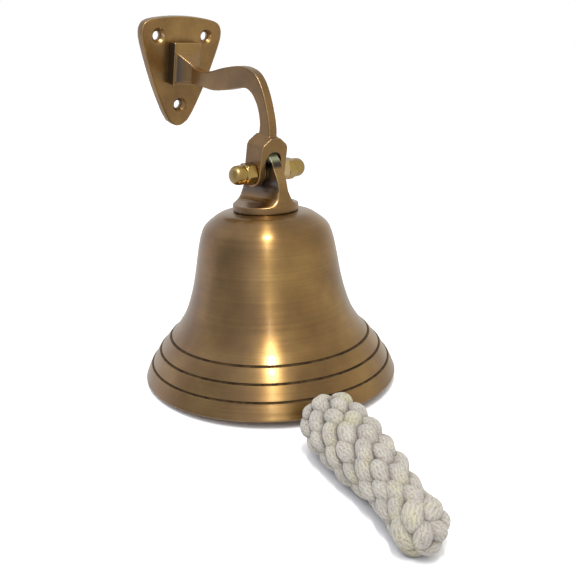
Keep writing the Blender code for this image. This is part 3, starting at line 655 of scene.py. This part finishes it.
def make_dome_nut(node, side, seat):
    """Acorn nut: six flats with chamfered corners, a neck, and a dome; blind hole from the seat."""
    dome = NUT_FLATS / 2 - 0.1 * MM
    neck = dome - 0.12 * MM
    turn = Matrix.Translation((side * seat, 0, 0)) @ Matrix.Rotation(side * math.pi / 2, 4, "Y")
    rounding = [(dome * math.cos(a) ** BLUNT, NUT_LENGTH - dome + dome * math.sin(a) ** BLUNT)
                for a in [math.radians(88 - 6 * i) for i in range(15)]]
    profile = ([(0, NUT_LENGTH)] + rounding + [(dome, NUT_HEX + 1.3 * MM), (neck, NUT_HEX + 0.8 * MM),
               (neck, NUT_HEX - MM), (0, NUT_HEX - MM)])
    corner = NUT_FLATS / 2 / math.cos(math.pi / 6)
    clear = corner + 0.1 * MM
    chamfer = turned("chamfer", [(0, NUT_HEX), (corner - 0.9 * MM, NUT_HEX), (clear, NUT_HEX - 0.9 * MM),
                                 (clear, 0.5 * MM), (corner - 0.5 * MM, 0), (0, 0)], 72)
    six = new_object("six", rod("six", corner, -MM, NUT_HEX + MM, sides=6))
    tool = new_object("tool", chamfer)
    use(six, "BOOLEAN", "chamfer", operation="INTERSECT", object=tool, solver="EXACT")
    hexagon = settle(six).data
    for spare in (six, tool):
        bpy.data.objects.remove(spare, do_unlink=True)
    hole = rod("thread", PIN_RADIUS + GAP, -MM, NUT_LENGTH - 4.6 * MM)
    obj = combined(node + "_polished", turned(node, profile, 72), [hexagon], [hole], BRACKET @ turn)
    cast(obj, 0.2 * MM, 3)
    finish_piece(obj, "bracket", "nut_brass", NUT_BRASS, node)


def make_washer(node, body, slot, hole, radius, thick, matrix, material):
    edge = 0.15 * MM
    profile = [(hole, thick), (radius - edge, thick), (radius, thick - edge), (radius, edge),
               (radius - edge, 0), (hole, 0)]
    obj = new_object(node + "_turned", turned(node, profile, 64, closed=True), matrix)
    finish_piece(shaded(obj), body, slot, material, node)


def make_bracket_hardware():
    make_pin()
    make_dome_nut("dome_nut_left", -1, FORK_HALF + GAP)
    make_dome_nut("dome_nut_right", 1, FORK_HALF + NUT_WASHER + GAP)
    spacer = SLOT_HALF - TONGUE_HALF - 2 * GAP
    places = {"nut_washer_right": (FORK_HALF + GAP, NUT_WASHER - GAP, WASHER_RADIUS),
              "spacer_washer_left": (-SLOT_HALF + GAP, spacer, WASHER_RADIUS - 0.4 * MM),
              "spacer_washer_right": (TONGUE_HALF + GAP, spacer, WASHER_RADIUS - 0.4 * MM)}
    for node, (x, thick, radius) in places.items():
        matrix = BRACKET @ Matrix.Translation((x, 0, 0)) @ ALONG_X
        make_washer(node, "bracket", "hardware_brass", PIN_RADIUS + GAP, radius, thick, matrix, NUT_BRASS)


# ---- bell, in its own frame: rim centre at the origin, axis along Z ------------------------------
RIM_RADIUS = 75 * MM
CROWN_TOP = 97 * MM
CROWN_UNDER = 93 * MM
WALL_THICK = 3.4 * MM
RIM_THICK = 1.3 * MM
GROOVES = [z * MM for z in (24.5, 17.0, 9.0)]
GROOVE_HALF = 0.5 * MM
GROOVE_DEPTH = 0.8 * MM
STEP_PROUD = 0.6 * MM
STUD_HOLE = 3.4 * MM
DISC_RADIUS = 18.9 * MM
DISC_THICK = 4 * MM


def outer_line():
    """Outer profile from the crown to the rim, without its grooves."""
    keys = [(20, 97.0), (26, 95.9), (31, 93.0), (35.6, 89.0), (37.8, 84.5), (39.3, 79), (40.8, 71.3),
            (42.8, 60), (45.5, 48.8), (49.5, 37.7), (54.6, 29.4), (59.2, 24.2), (65.4, 17), (70.7, 9),
            (73.4, 4.4), (75.0, 0.8)]
    return [(p.x * MM, p.y * MM) for p in smooth_line(keys, 8)]


def radius_at(line, height):
    for (r0, z0), (r1, z1) in zip(line, line[1:]):
        if z1 <= height <= z0:
            return r0 + (r1 - r0) * (z0 - height) / (z0 - z1)
    return line[-1][0]


def with_grooves(line):
    """A square-shouldered notch at each groove; the band below it starts a little proud."""
    result = []
    for r, z in line:
        if all(abs(z - g) > 1.5 * GROOVE_HALF for g in GROOVES):
            band = min((g - z for g in GROOVES if g > z), default=None)
            proud = STEP_PROUD * max(0, 1 - band / (6 * MM)) if band else 0
            result.append((r + proud, z))
    for g in GROOVES:
        above, at, below = (radius_at(line, g + d * GROOVE_HALF) for d in (1, 0, -1))
        result += [(above - 0.05 * MM, g + GROOVE_HALF), (above - 0.35 * MM, g + 0.75 * GROOVE_HALF),
                   (at - GROOVE_DEPTH, g + 0.15 * GROOVE_HALF),
                   (at - 0.8 * GROOVE_DEPTH, g - 0.35 * GROOVE_HALF),
                   (below + 0.3 * MM, g - 0.85 * GROOVE_HALF), (below + STEP_PROUD, g - 1.1 * GROOVE_HALF)]
    return sorted(result, key=lambda point: -point[1])


def inner_line(line):
    """Inner profile from the rim to the crown: the outer line moved in by the wall's thickness."""
    inner = []
    for (r0, z0), (r1, z1) in zip(line[::4], line[4::4]):
        along = Vector((r1 - r0, z1 - z0)).normalized()
        r, z = (r0 + r1) / 2, (z0 + z1) / 2
        thick = WALL_THICK + RIM_THICK * math.exp(-z / (12 * MM))
        inner.append((r + along.y * thick, z - along.x * thick))
    return [(r, z) for r, z in reversed(inner) if MM < z < CROWN_UNDER - 0.5 * MM]


def make_shell():
    line = outer_line()
    profile = ([(STUD_HOLE, CROWN_TOP)] + [(r * MM, CROWN_TOP) for r in (8, 14)] + with_grooves(line)
               + [(RIM_RADIUS, 0.4 * MM), (74.6 * MM, 0), (71.2 * MM, 0), (70.6 * MM, 0.4 * MM)]
               + inner_line(line) + [(18 * MM, CROWN_UNDER), (STUD_HOLE, CROWN_UNDER)])
    obj = new_object("bell_shell_turned", turned("bell_shell", profile, 256, closed=True), BELL)
    shaded(obj, 25)
    finish_piece(obj, "bell", "bell_brass", BELL_BRASS, "bell_shell")
    obj.data.materials.append(GROOVE_PATINA)
    for face in obj.data.polygons:
        radius, z = math.hypot(face.center.x, face.center.y), face.center.z
        in_groove = any(-0.9 * GROOVE_HALF < z - g < 0.9 * GROOVE_HALF for g in GROOVES)
        if in_groove and radius > radius_at(line, z) - 1.3 * GROOVE_DEPTH:
            face.material_index = 1


def tongue_outline():
    """Side view of the yoke: round top about the pin, broad sides down to the disc."""
    foot = CROWN_TOP + GAP + DISC_THICK - MM
    side = smooth_line(scaled([(12.0, 121.4), (12.8, 119.8), (14.2, 117.2), (15.4, 113.6), (16.2, 109.5),
                               (17.0, 106.0), (18.0, 103.6)]), 4)
    flare = [tuple(p) for p in side] + [(18 * MM, foot)]
    top = arc((0, PIN_HEIGHT), 12.2 * MM, 160, 20, 31)
    return [(-y, z) for y, z in reversed(flare)] + top + flare


def yoke_root(foot):
    """The yoke's root: level sections that run from the disc's circle to the tongue's oblong.

    Each is (height over the disc, half width, half depth, all in mm, and the exponent of its outline: 2 is
    an ellipse, 9 nearly a rectangle).
    """
    shapes = ((-0.4, 18.7, 18.7, 2), (0, 18.2, 18.6, 2.1), (0.6, 14.2, 18.4, 2.6), (1.4, 10.6, 18.1, 3.4),
              (2.5, 8.1, 17.7, 4.6), (4, 6.3, 17.2, 6), (5.8, 5.2, 16.7, 8), (8, 4.2, 16.2, 9),
              (10.5, 3.5, 15.6, 9), (12.5, 3.1, 15.1, 9))
    turns = [math.tau * i / 96 for i in range(96)]

    def reach(half, amount, square):
        return half * MM * math.copysign(abs(amount) ** (2 / square), amount)

    return lofted("yoke_root", [[(reach(wide, math.cos(a), square), reach(deep, math.sin(a), square),
                                  foot + height * MM) for a in turns]
                                for height, wide, deep, square in shapes])


def make_yoke():
    low = CROWN_TOP + GAP
    high = low + DISC_THICK
    disc = turned("crown_yoke", [(0, high), (DISC_RADIUS, high), (DISC_RADIUS, low), (0, low)], 160)
    tongue = prism("tongue", tongue_outline(), -TONGUE_HALF, TONGUE_HALF, SIDE)
    pin_axis = Matrix.Translation((0, 0, PIN_HEIGHT)) @ ALONG_X
    cuts = [rod("pin_hole", PIN_RADIUS + GAP, -2 * TONGUE_HALF, 2 * TONGUE_HALF, pin_axis),
            rod("stud_hole", STUD_RADIUS + GAP, low - MM, low + 7 * MM)]
    obj = combined("crown_yoke_cast", disc, [tongue, yoke_root(high)], cuts, BELL)
    cast(obj, 0.4 * MM, 5)
    finish_piece(obj, "bell", "bell_brass", YOKE_BRASS, "crown_yoke")


HANGER_EYE = 79 * MM
HANGER_RING = 5 * MM
EYE_WIRE = 1.5 * MM
LINK_WIRE = 1.3 * MM
HANGER_WASHER_RADIUS = 8 * MM
HANGER_NUT_RADIUS = 5.77 * MM      # at its corners
HANGER_NUT_THICK = 5 * MM


def ring(name, radius, wire, place, count=64):
    turns = [2 * math.pi * i / count for i in range(count)]
    points = [(radius * math.cos(a), 0, radius * math.sin(a)) for a in turns]
    mesh = swept(name, points, [wire] * count, closed=True)
    mesh.transform(place)
    return mesh


def make_hanger():
    """Stud with an eye below, a washer and a nut that clamp the crown to the yoke."""
    stud = rod("hanger_eye", STUD_RADIUS, HANGER_EYE + HANGER_RING - 0.4 * MM, CROWN_TOP + 6.5 * MM)
    eye = ring("eye", HANGER_RING, EYE_WIRE, Matrix.Translation((0, 0, HANGER_EYE)))
    obj = combined("hanger_eye_forged", stud, [eye], matrix=BELL)
    cast(obj, 0.3 * MM, 2)
    finish_piece(obj, "bell", "hardware_brass", HARDWARE_BRASS, "hanger_eye")
    washer_low = CROWN_UNDER - GAP - WASHER_THICK
    make_washer("hanger_washer", "bell", "hardware_brass", STUD_RADIUS + GAP, HANGER_WASHER_RADIUS,
                WASHER_THICK, BELL @ Matrix.Translation((0, 0, washer_low)), HARDWARE_BRASS)
    high = washer_low - GAP
    low = high - HANGER_NUT_THICK
    nut = combined("hanger_nut_forged", rod("hanger_nut", HANGER_NUT_RADIUS, low, high, sides=6),
                   cut=[rod("hole", STUD_RADIUS + GAP, low - MM, high + MM)], matrix=BELL)
    cast(nut, 0.25 * MM, 3)
    finish_piece(nut, "bell", "hardware_brass", HARDWARE_BRASS, "hanger_nut")


# ---- clapper, hanging plumb ----------------------------------------------------------------------
ROD_EYE = 4.5 * MM
ROD_RADIUS = 2.6 * MM
BALL_RADIUS = 12.5 * MM
BALL_HEIGHT = 31 * MM
TAIL_RING = 4.3 * MM
LINK_RADIUS = 4 * MM


def make_link():
    top = UPPER_PIVOT.z + EYE_WIRE + LINK_WIRE + GAP
    y, low = UPPER_PIVOT.y, LOWER_PIVOT.z
    outline = (arc((y, top - LINK_RADIUS), LINK_RADIUS, 0, 180, 25)
               + arc((y, low + LINK_RADIUS), LINK_RADIUS, 180, 360, 25))
    mesh = swept("clapper_link", [(0, a, b) for a, b in outline], [LINK_WIRE] * len(outline), closed=True)
    link = new_object("clapper_link_wire", mesh)
    finish_piece(link, "link", "clapper_brass", HARDWARE_BRASS, "clapper_link")


def make_clapper():
    eye = LOWER_PIVOT.z + LINK_WIRE + EYE_WIRE + GAP - ROD_EYE
    shank = rod("clapper_rod", ROD_RADIUS, TAIL_EYE.z + TAIL_RING, eye - ROD_EYE)
    eyes = [ring("top_eye", ROD_EYE, EYE_WIRE, Matrix.Translation((0, 0, eye))),
            ring("tail_eye", TAIL_RING, LINK_WIRE, Matrix.Translation((0, 0, TAIL_EYE.z)))]
    obj = combined("clapper_rod_forged", shank, eyes, matrix=CLAPPER)
    cast(obj, 0.3 * MM, 2)
    finish_piece(obj, "clapper", "clapper_brass", CLAPPER_BRASS, "clapper_rod")
    inside = ROD_RADIUS + GAP
    tip = math.degrees(math.acos(inside / BALL_RADIUS))
    profile = [(r, BALL_HEIGHT + z) for r, z in arc((0, 0), BALL_RADIUS, tip, -tip, 41)]
    ball = new_object("clapper_ball_turned", turned("clapper_ball", profile, 96, closed=True), CLAPPER)
    finish_piece(shaded(ball), "clapper", "clapper_brass", CLAPPER_BRASS, "clapper_ball")


# ---- lanyard: neck cord, and a braided handle that lies on the table -----------------------------
CORD_RADIUS = 2.25 * MM
HANDLE_START = FOOT @ (Vector((-39.7, -85.4, 17.2)) * MM)
HANDLE_END = FOOT @ (Vector((-67.3, -167.0, 11.9)) * MM)
HANDLE_LENGTH = (HANDLE_END - HANDLE_START).length
HANDLE_TURN = (HANDLE_END - HANDLE_START).to_track_quat("Z", "Y").to_matrix().to_4x4()
HANDLE = Matrix.Translation(HANDLE_START) @ HANDLE_TURN
HANDLE_BOW = Vector((2.0, 0, 0.6)) * MM
HANDLE_RADII = ((0, 15.8), (14, 16.8), (22, 17.0), (38, 16.2), (52, 14.3), (65, 12.6),
                (90, 11.8))        # mm along the handle, radius in mm
BLUNT_END = 6 * MM
TABLE_CLEAR = 0.15 * MM
KNOT_RADIUS = 12.6 * MM
KNOT_LENGTH = 11.5 * MM
COLUMNS = 12
PITCH = 13.4 * MM
STRAND_STEPS = 26                  # points per pitch
STRAND_RADIUS = 4.4 * MM
STRAND_DIP = 4.8 * MM              # how far a strand tucks in
DRAW = random.Random(7)


def cord_points():
    """Neck cord: from the eye splice down to the table, under the rim and on through the handle."""
    start = -TAIL_RING - CORD_RADIUS - GAP + (TAIL_EYE.y - FOOT.translation.y)
    route = [(-TAIL_RING / MM, start / MM, TAIL_EYE.z / MM)]
    route += [(x, start / MM - back, z) for x, back, z in
              ((-5.2, 5, 9.6), (-7, 12, 6.6), (-9.8, 20, 3.6), (-13.4, 29, 2.5), (-19, 42, 2.4),
               (-24.6, 54, 2.4))]
    route += [(-29.2, -66.5, 2.4), (-31.6, -72, 3.6), (-34.2, -77.5, 6.6), (-37.2, -84.0, 10.3)]
    points = [FOOT @ (Vector(point) * MM) for point in route]
    inside = [on_handle(Vector((0, 0, z * MM))) for z in (12, 24, 40, 56, 72, 84)]
    return smooth_line(points + inside, 4)


def cylinder_point(radius, angle, z):
    return Vector((radius * math.cos(angle), radius * math.sin(angle), z))


def on_handle(point):
    """From the handle's own frame, straight along Z, to where it lies with its slight bow."""
    t = min(max(point.z / HANDLE_LENGTH, 0), 1)
    return HANDLE @ point + HANDLE_BOW * (4 * t * (1 - t))


def lay(mesh):
    """Lays a mesh of the handle on the table, flat where it would sink in."""
    for vertex in mesh.vertices:
        vertex.co = on_handle(vertex.co)
        vertex.co.z = max(vertex.co.z, TABLE_CLEAR)
    return mesh


def handle_radius(z):
    """Outside of the handle: blunt and wide at the top, slimmer towards the knot."""
    along = min(max(z / MM, 0), HANDLE_RADII[-1][0])
    start, end = next(pair for pair in zip(HANDLE_RADII, HANDLE_RADII[1:]) if along <= pair[1][0])
    t = (along - start[0]) / (end[0] - start[0])
    radius = (start[1] + (end[1] - start[1]) * t) * MM
    if z < BLUNT_END:
        radius *= 1 - (1 - max(z, 0) / BLUNT_END) ** 2.2 * 0.34
    return radius


def make_strand(index):
    """One strand of the sinnet: it arches over the surface, then tucks back under its neighbours."""
    centre = 2 * math.pi * index / COLUMNS
    rounds = int(HANDLE_LENGTH / PITCH)
    offset = 0.5 * (index % 2)
    draws = [[DRAW.uniform(-1, 1) for _ in range(4)] for _ in range(rounds + 3)]
    points, radii = [], []
    for i in range(int((rounds - 0.15) * STRAND_STEPS) + 1):
        s = i / STRAND_STEPS - 0.3
        near = math.floor(s) + 1
        wild = [a + (b - a) * (s % 1) for a, b in zip(draws[near], draws[near + 1])]
        turn = 2 * math.pi * s
        swing = math.radians(7 + 8 * wild[0])
        z = PITCH * (s + offset + 0.55 + 1.1 * math.sin(turn) / (2 * math.pi)) + 0.6 * MM * wild[1]
        slim = handle_radius(z) / (17 * MM)
        thick = STRAND_RADIUS * (0.5 + 0.5 * slim) * (1 + 0.08 * wild[3])
        out = handle_radius(z) - thick - (0.5 + 0.5 * wild[2]) * 1.1 * MM
        out -= STRAND_DIP * slim * (1 - math.cos(turn))
        angle = centre + swing * math.sin(turn) + 0.03 * wild[3]
        points.append(cylinder_point(max(out, 1.5 * MM), angle, z))
        radii.append(thick)
    return new_object(f"braid_strand_{index + 1:02d}", lay(swept("strand", points, radii)))


def joined(name, meshes):
    """One object from several meshes."""
    bm = bmesh.new()
    for mesh in meshes:
        bm.from_mesh(mesh)
    return new_object(name, to_mesh(name, bm))


def bight(ends, peak, thick):
    """A short arch of cord between two tucked ends, in the handle's own frame."""
    start, end = ends
    rise = (peak - (start + end) / 2) * 0.28
    points = smooth_line([start, start.lerp(peak, 0.55) + rise, peak, end.lerp(peak, 0.55) + rise, end], 6)
    return swept("bight", points, domed(len(points), thick))


def make_crown():
    """Small arches over the blunt top end: an outer ring, an inner ring and one across the middle."""
    arches = []
    for count, reach, height, thick, spread in ((8, 10.2, 3.6, 3.3, 0.36), (5, 5.2, 2.4, 3.0, 0.6)):
        for i in range(count):
            angle = 2 * math.pi * (i + 0.2) / count
            ends = (cylinder_point((reach - 3.4) * MM, angle - spread, 6.5 * MM),
                    cylinder_point((reach + 1.2) * MM, angle + spread, 7.5 * MM))
            peak = cylinder_point(reach * MM, angle, (height + 0.5 * DRAW.uniform(-1, 1)) * MM)
            arches.append(lay(bight(ends, peak, thick * MM)))
    middle = (Vector((-2.4, 0.8, 5.5)) * MM, Vector((2.4, -0.8, 5.5)) * MM)
    arches.append(lay(bight(middle, Vector((0, 0, 1.6 * MM)), 2.9 * MM)))
    return joined("braid_crown", arches)


def make_knot():
    """Wall knot: big slanting arches round the far end, smaller ones crossing on its tip."""
    arches = []
    base = HANDLE_LENGTH - 1.5 * MM
    for i in range(6):
        angle = 2 * math.pi * i / 6
        ends = (cylinder_point(4.6 * MM, angle - 1.0, base - 1 * MM),
                cylinder_point(3.8 * MM, angle + 0.9, base + 5 * MM))
        peak = cylinder_point(KNOT_RADIUS - 4.6 * MM, angle, base + 2.5 * MM)
        arches.append(lay(bight(ends, peak, 4.7 * MM)))
    base = HANDLE_LENGTH + 3 * MM
    for i in range(3):
        angle = 2 * math.pi * (i + 0.3) / 3
        ends = (cylinder_point(4.4 * MM, angle - 1.0, base), cylinder_point(3.6 * MM, angle + 1.2, base))
        peak = cylinder_point(3.6 * MM, angle, HANDLE_LENGTH + KNOT_LENGTH - 4.2 * MM)
        arches.append(lay(bight(ends, peak, 4.0 * MM)))
    return joined("end_knot", arches)


def make_core():
    """The strands' hidden middle, which fills the braid."""
    length = HANDLE_LENGTH
    profile = [(0, 4 * MM), (8 * MM, 4.5 * MM), (10.5 * MM, 9 * MM), (7.2 * MM, length - 4 * MM),
               (5 * MM, length + 3 * MM), (0, length + 4 * MM)]
    return shaded(new_object("braid_core", lay(turned("braid_core", profile, 48))))


def make_lanyard():
    points = cord_points()
    cord = new_object("neck_cord", swept("neck_cord", points, domed(len(points), CORD_RADIUS, 1), 16))
    braid = [make_core()] + [make_strand(i) for i in range(COLUMNS)] + [make_crown()]
    knot = make_knot()
    loop_place = Matrix.Translation((-TAIL_RING, TAIL_EYE.y, TAIL_EYE.z))
    loop_place @= Matrix.Rotation(math.pi / 2, 4, "X")
    loop = new_object("eye_splice", ring("eye_splice", TAIL_RING, CORD_RADIUS, loop_place, 40))
    for piece in braid + [knot]:
        finish_piece(piece, "lanyard", "cotton_rope", ROPE)
    finish_piece(loop, "lanyard", "cotton_rope", THIN_CORD, "lanyard_loop")
    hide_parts("lanyard_handle")
    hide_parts("lanyard_knot")
    cord.data.materials.append(THIN_CORD)
    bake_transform(cord)
    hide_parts("lanyard_cord")


# ---- stage ---------------------------------------------------------------------------------------
LIGHT_TARGET = Vector((0, 0, 0.07))


def make_floor():
    floor = new_object("floor", rod("floor", 12, -0.02, 0, sides=96))
    n = Nodes("floor_white")
    place = n.add("ShaderNodeTexCoord").outputs["Object"]
    n.link(n.ramp(n.noise(place, 2), [(0.3, (0.86, 0.86, 0.855)), (0.7, (0.89, 0.89, 0.885))]), "Base Color")
    n.settings({"Roughness": 0.9})
    floor.data.materials.append(n.material)
    floor.visible_glossy = False


def make_light(name, azimuth, elevation, distance, size, power):
    """Area light aimed at the bell; azimuth as the camera views it, 0 looking along +Y."""
    data = bpy.data.lights.new(name, "AREA")
    data.shape = "RECTANGLE"
    data.size, data.size_y = size
    data.energy = power
    turn, rise = math.radians(azimuth), math.radians(elevation)
    place = Vector((math.sin(turn) * math.cos(rise), -math.cos(turn) * math.cos(rise), math.sin(rise)))
    obj = new_object(name, data)
    obj.location = LIGHT_TARGET + place * distance
    obj.rotation_euler = place.to_track_quat("Z", "Y").to_euler()


def make_sun():
    """Very soft light from above, which keeps the floor evenly bright out to the horizon."""
    data = bpy.data.lights.new("overhead", "SUN")
    data.energy, data.angle = 2.6, math.radians(80)
    obj = new_object("overhead", data)
    obj.rotation_euler = (math.radians(12), math.radians(-14), 0)
    obj.visible_glossy = False


def make_world():
    """A soft studio that the brass mirrors: pale warm walls, darker and cooler at the far left."""
    world = bpy.data.worlds.new("studio")
    bpy.context.scene.world = world
    world.use_nodes = True
    nodes, links = world.node_tree.nodes, world.node_tree.links
    coords = nodes.new("ShaderNodeTexCoord")
    side = nodes.new("ShaderNodeVectorMath")
    side.operation = "DOT_PRODUCT"
    side.inputs[1].default_value = (-0.95, 0.26, 0.17)
    links.new(coords.outputs["Generated"], side.inputs[0])
    ramp = nodes.new("ShaderNodeValToRGB")
    shift = nodes.new("ShaderNodeMath")
    shift.operation = "MULTIPLY_ADD"
    shift.inputs[1].default_value = shift.inputs[2].default_value = 0.5
    links.new(side.outputs["Value"], shift.inputs[0])
    links.new(shift.outputs[0], ramp.inputs["Fac"])
    stops = ((0.45, (0.62, 0.60, 0.57)), (0.88, (0.62, 0.64, 0.80)), (0.965, (0.36, 0.38, 0.46)))
    ramp.color_ramp.elements.new(0.5)
    for element, (position, colour) in zip(ramp.color_ramp.elements, stops):
        element.position, element.color = position, (*colour, 1)
    links.new(ramp.outputs["Color"], nodes["Background"].inputs["Color"])
    white = nodes.new("ShaderNodeBackground")
    white.inputs["Color"].default_value = (1, 1, 1, 1)
    path = nodes.new("ShaderNodeLightPath")
    blend = nodes.new("ShaderNodeMixShader")
    links.new(path.outputs["Is Camera Ray"], blend.inputs[0])
    links.new(nodes["Background"].outputs[0], blend.inputs[1])
    links.new(white.outputs[0], blend.inputs[2])
    links.new(blend.outputs[0], nodes["World Output"].inputs["Surface"])


def make_stage():
    make_floor()
    make_world()
    make_light("key_high", -40.4, 60, 1.0, (0.05, 0.30), 5.6)
    make_light("key_strip", -40.4, 30, 1.1, (0.04, 0.6), 0.45)
    make_sun()
    bpy.context.scene.view_settings.view_transform = "Standard"


make_camera()
make_lanyard()
make_wall_plate()
make_bracket_arm()
make_bracket_hardware()
make_shell()
make_yoke()
make_hanger()
make_link()
make_clapper()
make_stage()
